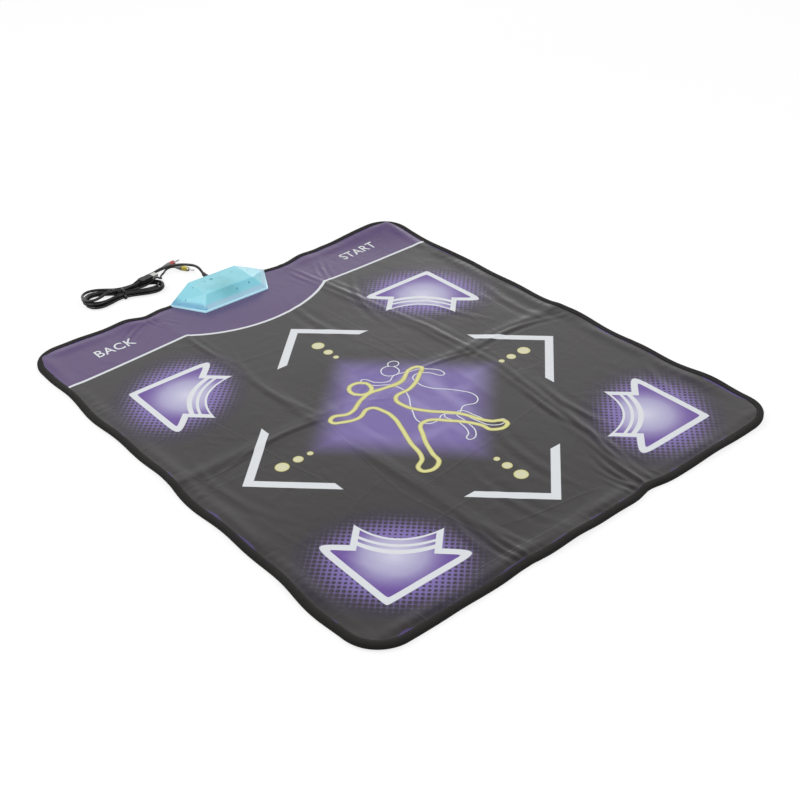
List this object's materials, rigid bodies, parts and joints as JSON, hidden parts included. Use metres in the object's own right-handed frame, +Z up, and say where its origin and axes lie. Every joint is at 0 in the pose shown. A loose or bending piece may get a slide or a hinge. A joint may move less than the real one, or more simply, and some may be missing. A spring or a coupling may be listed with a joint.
{
  "type": "dance mat",
  "caption": "Foldable layered dance mat with arrow zones and key zones that press in, a translucent control box on its back edge, and a tied cord with its plugs.",
  "frame": {"origin": "on the floor below the middle of the mat", "axes": "+Z up, +Y towards the control box, +X towards the start key"},
  "size_m": [0.8, 1.1022, 0.0313],
  "materials": {
    "printed_vinyl": "soft satin vinyl, printed",
    "base_sheet": "matte anti-slip",
    "foam": "soft foam",
    "contact_film": "satin film",
    "binding_fabric": "ribbed woven tape",
    "case_plastic": "translucent blue",
    "circuit_board": "solder mask",
    "black_plastic": "moulded",
    "cord_jacket": "semi-gloss jacket",
    "tie": "matte",
    "plated_steel": "plated",
    "red_plastic": "moulded",
    "yellow_plastic": "moulded"
  },
  "bodies": {
    "mat_back": {"audio_lead": "cord_jacket", "audio_plug_grip": "red_plastic", "audio_plug_pin": "plated_steel", "base_sheet_back": "base_sheet", "capacitor_1": "plated_steel", "capacitor_2": "plated_steel", "case_base": "case_plastic", "case_screw": "plated_steel", "case_top": "case_plastic", "circuit_board": "circuit_board", "clamp_plate": "case_plastic", "clamp_screw_1": "plated_steel", "clamp_screw_2": "plated_steel", "clamp_screw_3": "plated_steel", "clamp_screw_4": "plated_steel", "contact_film_back": "contact_film", "controller_blob": "black_plastic", "cord": "cord_jacket", "cord_grommet": "black_plastic", "cord_hank": "cord_jacket", "cord_tie": "tie", "crystal": "plated_steel", "edge_binding_back": "binding_fabric", "film_tail": "contact_film", "foam_pad_back": "foam", "memory_chip": "black_plastic", "power_lead": "cord_jacket", "spacer_foam_back": "foam", "status_led": "red_plastic", "tail_clamp": "black_plastic", "tail_screw_1": "plated_steel", "tail_screw_2": "plated_steel", "top_cover_back": "printed_vinyl", "usb_grip": "cord_jacket", "usb_shell": "plated_steel", "video_lead": "cord_jacket", "video_plug_grip": "yellow_plastic", "video_plug_pin": "plated_steel"},
    "mat_front": {"base_sheet_front": "base_sheet", "contact_film_front": "contact_film", "edge_binding_front": "binding_fabric", "foam_pad_front": "foam", "spacer_foam_front": "foam", "top_cover_front": "printed_vinyl"},
    "arrow_back_left": {"panel_arrow_back_left": "printed_vinyl", "contact_arrow_back_left": "contact_film"},
    "arrow_back_right": {"panel_arrow_back_right": "printed_vinyl", "contact_arrow_back_right": "contact_film"},
    "arrow_front_left": {"panel_arrow_front_left": "printed_vinyl", "contact_arrow_front_left": "contact_film"},
    "arrow_front_right": {"panel_arrow_front_right": "printed_vinyl", "contact_arrow_front_right": "contact_film"},
    "back_key": {"panel_back_key": "printed_vinyl", "contact_back_key": "contact_film"},
    "start_key": {"panel_start_key": "printed_vinyl", "contact_start_key": "contact_film"}
  },
  "joints": [
    {"name": "mid_fold", "type": "hinge", "parent": "mat_back", "child": "mat_front", "pos_m": [0, -0.008, 0.0084], "axis": [-1, 0, 0], "range_deg": [0, 170]},
    {"name": "press_arrow_back_left", "type": "slide", "parent": "mat_back", "child": "arrow_back_left", "axis": [0, 0, -1], "range_m": [0, 0.0015], "stiffness_N_per_m": 8000},
    {"name": "press_arrow_back_right", "type": "slide", "parent": "mat_back", "child": "arrow_back_right", "axis": [0, 0, -1], "range_m": [0, 0.0015], "stiffness_N_per_m": 8000},
    {"name": "press_arrow_front_left", "type": "slide", "parent": "mat_front", "child": "arrow_front_left", "axis": [0, 0, -1], "range_m": [0, 0.0015], "stiffness_N_per_m": 8000},
    {"name": "press_arrow_front_right", "type": "slide", "parent": "mat_front", "child": "arrow_front_right", "axis": [0, 0, -1], "range_m": [0, 0.0015], "stiffness_N_per_m": 8000},
    {"name": "press_back_key", "type": "slide", "parent": "mat_back", "child": "back_key", "axis": [0, 0, -1], "range_m": [0, 0.0015], "stiffness_N_per_m": 3000},
    {"name": "press_start_key", "type": "slide", "parent": "mat_back", "child": "start_key", "axis": [0, 0, -1], "range_m": [0, 0.0015], "stiffness_N_per_m": 3000}
  ]
}
